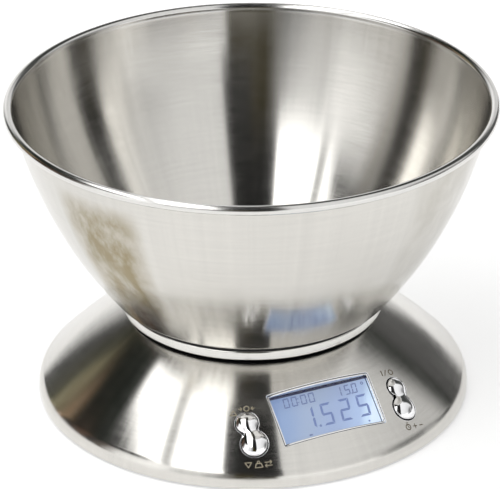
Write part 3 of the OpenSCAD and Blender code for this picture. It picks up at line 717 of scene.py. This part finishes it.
# ---------------------------------------------------------------- platform pan
profile = rounded([(0, PAN_Z + BOSS_H), (BOSS_R - 0.4, PAN_Z + BOSS_H), (BOSS_R + 0.4, PAN_Z),
                   (PAN_STEP_R, PAN_Z), (PAN_STEP_R + 0.5, PAN_Z - PAN_STEP),
                   (PAN_R - PAN_ROUND - 0.4, PAN_Z - PAN_STEP)], 0.4)
profile += arc(PAN_R - PAN_ROUND, PAN_Z - PAN_STEP - PAN_ROUND, PAN_ROUND, 90, 0, 12)
profile += arc(PAN_R - PAN_T / 2, PAN_LOW + PAN_T / 2, PAN_T / 2, 0, -180, 8)
profile += arc(PAN_R - PAN_ROUND, PAN_Z - PAN_STEP - PAN_ROUND, PAN_ROUND - PAN_T, 0, 90, 6)
profile += rounded([(PAN_STEP_R - 0.2, PAN_Z - PAN_STEP - PAN_T), (PAN_STEP_R - 0.7, PAN_Z - PAN_T),
                    (BOSS_R, PAN_Z - PAN_T),
                    (BOSS_R - 0.8, PAN_Z + BOSS_H - PAN_T), (0, PAN_Z + BOSS_H - PAN_T)], 0.5)


def in_shadow_step(a, b):
    """True between two points of the profile that lie in the step round the pan's edge, which is given black rubber as
    a painted shadow gap.
    """
    return (PAN_STEP_R + 0.2 < (a[0] + b[0]) / 2 < PAN_R - 0.35
            and min(a[1], b[1]) > PAN_Z - PAN_STEP - 0.6)


# painted shade: the faces of the step take the black rubber material so that they read as the shadow gap under the
# bowl
marks = [int(in_shadow_step(a, b)) for a, b in zip(profile, profile[1:] + profile[:1])]
verts, faces, face_marks = lathe(profile, 320, marks)
pan = obj_from("pan_shell", verts, faces, [M["polished_steel"], M["rubber"]], "platform", face_mats=face_marks,
               slot="polished_steel")
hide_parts("platform_pan")

# ---------------------------------------------------------------- cover
dome_out = arc(DOME_CR, DOME_CZ, DOME_R, 90 - OPEN_SLOPE, CORNER_A, 60)
OPEN_EDGE = 0.16
profile = arc(OPEN_R + OPEN_EDGE, OPEN_Z - 0.17, OPEN_EDGE, 180, 90 - OPEN_SLOPE * 0.5, 6)
profile += dome_out[1:] + arc(CORNER_CR, CORNER_CZ, CORNER_R, CORNER_A, 0, 24)[1:]
profile += arc(BASE_R - COVER_T / 2, SKIRT_Z + COVER_T / 2, COVER_T / 2, 0, -180, 8)
profile += arc(CORNER_CR, CORNER_CZ, CORNER_R - COVER_T, 0, CORNER_A, 12)
profile += arc(DOME_CR, DOME_CZ, DOME_R - COVER_T, CORNER_A, 90 - OPEN_SLOPE - 0.05, 30)[1:]
verts, faces, _ = lathe(profile, 384)
cover = obj_from("cover_shell", verts, faces, [cover_steel], None, sharp=50)


def cut_hole(target, outline, place, low, high):
    cutter = obj_from("cutter", *prism(outline, low, high), [cover_steel], None, place)
    bpy.context.view_layer.update()
    tool = target.modifiers.new("hole", "BOOLEAN")
    tool.operation, tool.solver, tool.object = "DIFFERENCE", "EXACT", cutter
    shape = bpy.data.meshes.new_from_object(target.evaluated_get(bpy.context.evaluated_depsgraph_get()))
    target.modifiers.clear()
    old = target.data
    target.data = shape
    bpy.data.meshes.remove(old)
    bpy.data.objects.remove(cutter)


SHOW_CORNER = 0.9
display_edge = round_rect(SHOW_W, SHOW_L, SHOW_CORNER)
display_cut = round_rect(SHOW_W + 2 * LIP, SHOW_L + 2 * LIP, SHOW_CORNER + LIP)
cut_hole(cover, display_cut, display_place, -5, 9)
button_edge = peanut(BUTTON_GAP, 120)
button_cut = peanut(BUTTON_GAP + LIP, 120)
for side in (-1, 1):
    cut_hole(cover, button_cut, button_place(side), -4, 5)


def settle_normals(piece):
    """The cover's faces take the exact normals of its profile, so cuts leave no ripple in its shine."""
    near = 0.012
    mesh = piece.data
    co = np.zeros(len(mesh.vertices) * 3)
    mesh.vertices.foreach_get("co", co)
    co = co.reshape(-1, 3) / MM
    r = np.hypot(co[:, 0], co[:, 1])
    out = np.hypot(r - DOME_CR, co[:, 2] - DOME_CZ) - DOME_R
    on_arc, in_arc = np.abs(out) < near, np.abs(out + COVER_T) < near
    exact = np.stack([(r - DOME_CR) * co[:, 0] / r, (r - DOME_CR) * co[:, 1] / r, co[:, 2] - DOME_CZ], 1)
    exact /= np.linalg.norm(exact, axis=1)[:, None]
    loops = np.zeros(len(mesh.loops) * 3)
    mesh.loops.foreach_get("normal", loops)
    loops = loops.reshape(-1, 3)
    for face in mesh.polygons:
        ids = list(face.vertices)
        n = np.array(face.normal)
        for flags, sign in ((on_arc, 1), (in_arc, -1)):
            if flags[ids].all() and n @ exact[ids[0]] * sign > 0.8:
                for li, vi in zip(face.loop_indices, ids):
                    loops[li] = exact[vi] * sign
    mesh.normals_split_custom_set([tuple(v) for v in loops])


settle_normals(cover)
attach(cover, "base")
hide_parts("top_cover")
for name, place, outline in (("display_lip", display_place, display_edge),
                             ("button_lip_left", button_place(-1), button_edge),
                             ("button_lip_right", button_place(1), button_edge)):
    obj_from(name, *lip(place, outline), [lip_polish], "base", place, slot="brushed_steel")

# ---------------------------------------------------------------- display
rim_out = round_rect(SHOW_W - 0.5, SHOW_L - 0.5, 0.7)
rings = []
for (x, y), (dx, dy) in zip(rim_out, outward(rim_out)):
    top = on_dome(display_place, x, y, -RIM_SUNK)
    section = [(0, RIM_LOW), (0, top - 0.2), (-0.06, top - 0.06), (-0.2, top), (-RIM_WALL + 0.2, top - 0.02),
               (-RIM_WALL + 0.06, top - 0.1), (-RIM_WALL, top - 0.3), (-RIM_WALL - 0.02, RIM_LOW)]
    rings.append([(x + dx * d, y + dy * d, h) for d, h in section])
bezel = obj_from("display_rim", *swept(rings, True), [M["chrome"]], "base", display_place, slot="chrome")
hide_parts("display_bezel")

window = prism(round_rect(SHOW_W - 2.3, SHOW_L - 2.3, 0.4), WINDOW_LOW, WINDOW_TOP, 0.1)
lens = obj_from("display_window", *window, [M["clear_lens"]], "base", display_place, slot="clear_lens")
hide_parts("display_lens")

# a dark printed border round the panel; along its upper edge it is widened as painted shade under the rim
mask_w, mask_l = SHOW_W - 2.2, SHOW_L - 2.2
edge = round_rect(mask_w, mask_l, 0.3, 4, 12)
# the hole sits low, so the border is widest at the top: painted shade
hole = [(x, y - 0.38) for x, y in round_rect(mask_w - 0.5, mask_l - 1.15, 0.3, 4, 12)]
mask = prism(edge, MASK_LOW, MASK_TOP, inner=hole)
obj_from("lcd_mask", *mask, [mask_navy], "base", display_place, slot="lcd_blue")
panel = prism(round_rect(LCD_W, LCD_L, 0.4), LCD_LOW, LCD_TOP, 0.1)
lcd = obj_from("lcd_panel", *panel, [M["lcd_blue"]], "base", display_place, slot="lcd_blue")
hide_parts("lcd_glass")

SEGMENTS = {"0": "abcdef", "1": "bc", "2": "abged", "5": "afgcd"}
LEAN = 0.10


def segment(name, x, y, w, h, t):
    """One bar of a digit whose lower left corner is at (x, y)."""
    g = t * 0.12
    half = h / 2
    bars = {"a": ((g, h), (w - g, h), 1), "d": ((g, 0), (w - g, 0), -1), "g": ((g, half), (w - g, half), 0),
            "f": ((0, half + g), (0, h - g), -2), "b": ((w, half + g), (w, h - g), 2),
            "e": ((0, g), (0, half - g), -2), "c": ((w, g), (w, half - g), 2)}
    (x0, y0), (x1, y1), kind = bars[name]
    if abs(kind) < 2:
        lo, hi = {1: (-t, 0), -1: (0, t), 0: (-t / 2, t / 2)}[kind]
        if kind == 0:
            pts = [(x0 + t * 0.5, y0 + lo), (x1 - t * 0.5, y0 + lo), (x1, y0), (x1 - t * 0.5, y0 + hi),
                   (x0 + t * 0.5, y0 + hi), (x0, y0)]
        elif kind == 1:
            pts = [(x0 + t, y0 + lo), (x1 - t, y0 + lo), (x1, y0 + hi), (x0, y0 + hi)]
        else:
            pts = [(x0, y0 + lo), (x1, y0 + lo), (x1 - t, y0 + hi), (x0 + t, y0 + hi)]
    else:
        upper = name in "fb"
        long_y, short_y = (y1, y0) if upper else (y0, y1)
        turn = -t if upper else t
        away = t if kind < 0 else -t
        pts = [(x0, long_y), (x0 + away, long_y + turn), (x0 + away, short_y - turn * 0.5),
               (x0 + away * 0.5, short_y), (x0, short_y - turn * 0.4)]
    pts = [(x + px + LEAN * (py - h / 2), y + py) for px, py in pts]
    area = sum(a[0] * b[1] - b[0] * a[1] for a, b in zip(pts, pts[1:] + pts[:1]))
    return pts if area > 0 else pts[::-1]


def spot(x, y, r, n=14):
    return arc(x, y, r, 0, 360, n)[:-1]


def digits(text, x, y, w, h, t, gap):
    """Shapes of a reading: digits w by h with bars t wide, and dots and colons between them."""
    shapes = []
    for c in text:
        if c == ".":
            shapes.append(spot(x - gap * 0.5, y + t * 0.5, t * 0.55))
        elif c == ":":
            shapes += [spot(x - gap * 0.5 + LEAN * k, y + h / 2 + k, t * 0.5) for k in (-h * 0.2, h * 0.2)]
            x += t * 1.1
        else:
            shapes += [segment(s, x, y, w, h, t) for s in SEGMENTS[c]]
            x += w + gap
    return shapes


def inked(name, shapes, ink):
    verts, faces = join(*[prism(s, SEGMENT_LOW, SEGMENT_TOP) for s in shapes])
    return obj_from(name, verts, faces, [ink], "base", display_place, slot="lcd_blue")


small = digits("00:00", -18.8, 5.6, 3.0, 4.9, 0.6, 1.15) + digits("1", 8.6, 5.2, 2.7, 5.0, 0.6, 1.2)
small += digits("5.0", 13.1, 5.2, 2.7, 5.0, 0.6, 1.0)
small += [segment("g", -12.3, -10.7, 2.2, 1.4, 0.8), spot(19.4, -9.9, 0.45)]
BIG = (-7.2, 5.6, 11.1, 1.15, 2.0)
big = digits("1", -11.8, *BIG) + [spot(-4.9, -6.6, 0.62)]
for digit, x in (("5", -2.35), ("2", 7.05), ("5", 16.5)):
    big += digits(digit, x, *BIG)
inked("lcd_reading", big, segment_ink)
inked("lcd_small", small, segment_faint)
degree = prism(spot(22.7, 9.3, 0.8), SEGMENT_LOW, SEGMENT_TOP, inner=spot(22.7, 9.3, 0.35))
obj_from("lcd_degree", *degree, [segment_faint], "base", display_place, slot="lcd_blue")

# ---------------------------------------------------------------- rockers
AROUND, RINGS, EDGE_RINGS = 168, 40, 7


def rocker_mesh():
    """Cap with a rounded edge, the leg with the pin's bore, and the two pegs that press the switches."""
    verts, faces, levels = [(0.0, 0.0, crown(0, 0))], [], []
    edge = around(0.0, AROUND)
    for k in range(1, RINGS + 1):
        f = CAP_TOP * math.sin(k / RINGS * math.pi / 2)
        levels.append([(x * f, y * f, crown(x * f, y * f)) for x, y in edge])
    for k in range(1, EDGE_RINGS + 1):
        t = k / EDGE_RINGS * math.pi / 2
        f, drop = CAP_TOP + (1 - CAP_TOP) * math.sin(t), CAP_EDGE * (1 - math.cos(t))
        levels.append([(x * f, y * f, top[2] - drop) for (x, y), top in zip(edge, levels[RINGS - 1])])
    levels.append([(x, y, CAP_LOW) for x, y, _ in levels[-1]])
    for ring in levels:
        verts += ring
    faces += [[0, 1 + i, 1 + (i + 1) % AROUND] for i in range(AROUND)]
    for k in range(len(levels) - 1):
        for i in range(AROUND):
            j = (i + 1) % AROUND
            a, b = 1 + k * AROUND, 1 + (k + 1) * AROUND
            faces.append([a + i, b + i, b + j, a + j])
    last = 1 + (len(levels) - 1) * AROUND
    faces.append([last + i for i in reversed(range(AROUND))])
    block = round_rect(5.2, 4.9, 0.5, 4, 5)
    bore = [(BORE_R * math.cos(a), BORE_UP + BORE_R * math.sin(a))
            for a in [math.atan2(y - BORE_UP, x) for x, y in block]]
    tube_v, tube_f = prism(block, -LEG_HALF, LEG_HALF, inner=bore)
    leg = ([(z, x, y + PIVOT - BORE_UP) for x, y, z in tube_v], tube_f)
    pegs = [prism(spot(0.0, y, PEG_R, 32), PEG_LOW, PEG_TOP) for y in (-LOBE_Y, LOBE_Y)]
    return join((verts, faces), leg, *pegs)


rocker = rocker_mesh()
for side, name in ((-1, "tare_unit"), (1, "power_timer")):
    piece = obj_from(name + "_cap", *rocker, [M["chrome"]], name + "_button", button_place(side), sharp=40,
                     slot="chrome")
    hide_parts(name + "_rocker")


# ---------------------------------------------------------------- printed marks on the cover
def ring_mark(x, y, r, t):
    """A ring of radius r and a stroke t wide, as forty quads."""
    out, inn = arc(x, y, r, 0, 360, 40), arc(x, y, r - t, 0, 360, 40)
    return [list(quad) for quad in zip(out, out[1:], inn[1:], inn)]


def bar(x0, y0, x1, y1, t):
    """A straight stroke t wide."""
    d = np.array([x1 - x0, y1 - y0])
    d /= np.linalg.norm(d)
    nx, ny = -d[1] * t / 2, d[0] * t / 2
    return [[(x0 - nx, y0 - ny), (x1 - nx, y1 - ny), (x1 + nx, y1 + ny), (x0 + nx, y0 + ny)]]


def line(points, t, closed=False):
    """A stroke t wide through the points, with round joints."""
    pts = list(points) + ([points[0]] if closed else [])
    out = []
    for a, b in zip(pts, pts[1:]):
        out += bar(a[0], a[1], b[0], b[1], t)
    for p in pts:
        out.append(spot(p[0], p[1], t / 2))
    return out


def turned(shapes, x, y, angle):
    """Shapes drawn about their own middle, turned and set down at (x, y)."""
    c, s = math.cos(math.radians(angle)), math.sin(math.radians(angle))
    return [[(x + px * c - py * s, y + px * s + py * c) for px, py in shape] for shape in shapes]


def triangle(size, up):
    k = 1 if up else -1
    return line([(-size, -k * size * 0.75), (size, -k * size * 0.75), (0, k * size * 0.8)], 0.45, True)


def arrow(x0, x1, y):
    head, stroke = 0.75, 0.42
    back = x1 - head if x1 > x0 else x1 + head
    return line([(x0, y), (x1, y)], stroke) + line([(back, y + head), (x1, y), (back, y - head)], stroke)


def printed(name, side, shapes, ink):
    """Flat shapes in a rocker's frame laid on the dome."""
    place = button_place(side)
    verts, faces = [], []
    for shape in shapes:
        faces.append([len(verts) + i for i in range(len(shape))])
        verts += [(x, y, on_dome(place, x, y, PRINT_LIFT)) for x, y in shape]
    return obj_from(name, verts, faces, [ink], "base", place, slot="white_plastic")


zero = ring_mark(0, 0, 1.45, 0.5) + arrow(-3.7, -2.1, 0) + arrow(3.7, 2.1, 0)
weight = line([(-3.9, -1.3), (-0.3, -1.3), (-1.0, 0.6), (-3.2, 0.6)], 0.45, True) + ring_mark(-2.1, 1.2, 0.75, 0.4)
swap = arrow(0.9, 4.1, 0.75) + arrow(4.1, 0.9, -0.85)
power = bar(-3.9, -1.4, -3.9, 1.4, 0.6) + bar(-2.6, -1.5, -0.9, 1.5, 0.5) + ring_mark(1.6, 0, 1.5, 0.52)
clock = ring_mark(-3.9, -0.1, 1.6, 0.5) + line([(-3.9, 0.8), (-3.9, -0.1), (-3.2, -0.5)], 0.38)
clock += bar(-4.5, 2.0, -3.3, 2.0, 0.42)
plus_minus = bar(-0.9, -0.1, 1.5, -0.1, 0.45) + bar(0.3, -1.3, 0.3, 1.1, 0.45) + bar(3.0, -0.1, 5.2, -0.1, 0.5)
printed("mark_up", -1, turned(triangle(1.55, True), -4.2, 12.3, -20), print_gold)
printed("mark_zero", -1, turned(zero, 2.3, 12.3, -15), print_gold)
printed("mark_down", -1, turned(triangle(1.55, False), -6.1, -14.1, -16), print_gold)
printed("mark_unit", -1, turned(weight + swap, 0.6, -15.9, -12), print_gold)
printed("mark_power", 1, turned(power, -1.2, 13.7, 1), print_brown)
printed("mark_timer", 1, turned(clock + plus_minus, 2.4, -14.9, 3), print_brown)

# ---------------------------------------------------------------- feet
foot_profile = rounded([(0, 0.25), (2.0, 0.25), (2.4, 0), (FOOT_R - 0.5, 0), (FOOT_R, 0.5), (FOOT_R, 1.55),
                        (2.5, 1.55)], 0.25, 3)
groove = []  # four fine rings in the sole
for r in (3.4, 4.4, 5.4, 6.3):
    groove += [(r - 0.16, 0.0), (r - 0.08, 0.16), (r + 0.08, 0.16), (r + 0.16, 0.0)]
foot_profile = [p for p in foot_profile if p[0] <= 2.6 and p[1] < 1] + groove \
    + [p for p in foot_profile if p[0] > 6.6 or (p[1] > 1 and p[0] > 2.4)] + [(2.5, 4.9), (2.2, 5.0), (0, 5.0)]
foot_v, foot_f, _ = lathe(foot_profile, 72)
parts = [([(x + fx, y + fy, z) for x, y, z in foot_v], foot_f) for fx, fy in arc(0, 0, FOOT_PLACE, 45, 315, 3)]
feet = obj_from("feet_set", *join(*parts), [M["rubber"]], "base", slot="rubber")
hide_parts("rubber_feet")

# ---------------------------------------------------------------- floor, light and camera
FAR = 12
floor = bpy.data.meshes.new("floor")
floor.from_pydata([(-FAR, -FAR, 0), (FAR, -FAR, 0), (FAR, FAR, 0), (-FAR, FAR, 0)], [], [[0, 1, 2, 3]])
floor_piece = bpy.data.objects.new("floor", floor)
bpy.context.scene.collection.objects.link(floor_piece)
floor_mat, t, s, where = start("floor_paper")
grain = noise(t, where, 40.0, 3.0)
paper = blend(t, grain, (0.80, 0.80, 0.80), (0.82, 0.82, 0.82))
link(t, paper, s, "Base Color")
link(t, paper, s, "Emission Color")
s.inputs["Emission Strength"].default_value = 0.6
s.inputs["Roughness"].default_value = 0.9
s.inputs["Specular IOR Level"].default_value = 0.2
floor.materials.append(floor_mat)

# The studio is a world of light and dark zones, as a tent of white paper with gaps gives. Directions are measured
# from the photograph's side of the object: LOW_LIGHT goes round the horizon by degrees, to the right from the front,
# and TOP_LIGHT goes from left to right overhead.
FRONT, STUDIO = -25.02, 3.7
LOW_LIGHT = [(-180, 0.76), (-160, 0.98), (-150, 0.55), (-143, 0.05), (-131, (0.07, 0.07, 0.05)),
             (-127, (0.30, 0.27, 0.17)), (-121, (0.11, 0.09, 0.055)), (-117.5, (0.42, 0.28, 0.18)),
             (-114.5, (0.10, 0.08, 0.05)), (-112, 0.01), (-98, (0.11, 0.07, 0.05)), (-93, 0.03),
             (-84, (0.12, 0.10, 0.085)), (-73, 0.95), (-58, 1.12), (-46, 1.1), (-39, 0.66), (-29, 0.74), (-18, 0.40),
             (-9, (0.035, 0.028, 0.008)), (11, (0.035, 0.028, 0.008)), (12.5, 1.05), (63, 1.05), (69, 0.5),
             (84, 0.18), (94, 0.2), (99, 0.5), (108, 0.26), (114, 0.07), (150, 0.1), (158, 0.72)]
TOP_LIGHT = [(-1.0, 0.01), (-0.74, 0.01), (-0.68, 2.0), (-0.2, 2.4), (-0.05, 2.4), (0.05, 0.82), (0.60, 0.78),
             (0.87, 0.62), (0.95, 0.2), (1.0, 0.05)]

world = bpy.data.worlds.new("studio")
bpy.context.scene.world = world
world.use_nodes = True
w = world.node_tree
background = w.nodes["Background"]
way = node(w, "ShaderNodeTexCoord").outputs["Generated"]
front_a = math.radians(FRONT)
to_camera = (math.sin(front_a), -math.cos(front_a), 0)
to_right = (math.cos(front_a), math.sin(front_a), 0)
ahead, across, height = dot(w, way, to_camera), dot(w, way, to_right), dot(w, way, (0, 0, 1))
azimuth = calc(w, "ARCTAN2", across, ahead)
RAMP_TOP = 3  # a ramp's colours stay under 1, so they are stored as a third


def dimmed(v):
    return tuple(k / RAMP_TOP for k in v) if isinstance(v, tuple) else v / RAMP_TOP


low = ramp(w, spread(w, azimuth, 0, 1, -math.pi, math.pi), [((a + 180) / 360, dimmed(v)) for a, v in LOW_LIGHT])
high = ramp(w, spread(w, across, 0, 1, -1, 1), [((x + 1) / 2, dimmed(v)) for x, v in TOP_LIGHT])


def slanted(k):
    """Straight edges of the overhead zones lie where ahead + k * across is constant."""
    return calc(w, "ADD", ahead, calc(w, "MULTIPLY", across, k))


# overhead: a grey seam at the left, a dark gap in front, and dark beyond the gates on both sides
right = spread(w, across, 0, 1, -0.01, 0.01)
left_gate = spread(w, slanted(1.1), 0, 1, -0.92, -0.85)
right_gate = calc(w, "MAXIMUM", spread(w, slanted(0.907), 0, 1, 0.17, 0.36), spread(w, ahead, 0, 1, -0.30, -0.10))
gate = blend(w, right, left_gate, right_gate)
seam = calc(w, "ABSOLUTE", calc(w, "ADD", calc(w, "MULTIPLY", slanted(2.64), 0.36), 0.401))
high = blend(w, spread(w, seam, 0, 1, 0.022, 0.055), product(w, high, (0.27, 0.27, 0.27, 1)), high)
inside = calc(w, "MULTIPLY", spread(w, slanted(9.35), 0, 1, -1.49, -1.37),
              spread(w, slanted(-6.06), 0, 1, -0.606, -0.545))
high = blend(w, inside, high, (0.005, 0.005, 0.005))
high = blend(w, gate, blend(w, right, (0.004, 0.005, 0.004), (0.016, 0.017, 0.016)), high)

# light from overhead takes over between two heights, which are lower at the right
beside = calc(w, "MULTIPLY", right, spread(w, ahead, 0, 1, -0.66, -0.58))
beside = calc(w, "MULTIPLY", beside, spread(w, height, 0, 1, 0.17, 0.24))
mix = blend(w, calc(w, "MAXIMUM", beside, spread(w, height, 0, 1, 0.42, 0.52)), low, high)
w.links.new(mix, background.inputs["Color"])
background.inputs["Strength"].default_value = STUDIO
plain = node(w, "ShaderNodeBackground", {"Color": (0.95, 0.95, 0.95, 1), "Strength": 1.0})
seen = node(w, "ShaderNodeLightPath").outputs["Is Camera Ray"]
shown = node(w, "ShaderNodeMixShader", {0: seen, 1: background.outputs[0], 2: plain.outputs[0]})
w.links.new(shown.outputs[0], w.nodes["World Output"].inputs["Surface"])

camera = bpy.data.objects.new("camera", bpy.data.cameras.new("camera"))
bpy.context.scene.collection.objects.link(camera)
camera.data.sensor_width = 36
camera.data.lens = 254.0
camera.location = (-0.6430, -1.3751, 0.8447)
tilt, roll = math.radians(26.87), math.radians(-0.398)
back = Vector((math.sin(front_a) * math.cos(tilt), -math.cos(front_a) * math.cos(tilt), math.sin(tilt)))
camera.rotation_mode = "QUATERNION"
camera.rotation_quaternion = (-back).to_track_quat("-Z", "Y") @ Matrix.Rotation(roll, 3, "Z").to_quaternion()
camera.data.clip_start, camera.data.clip_end = 0.05, 60
bpy.context.scene.camera = camera
bpy.context.scene.view_settings.view_transform = "Standard"
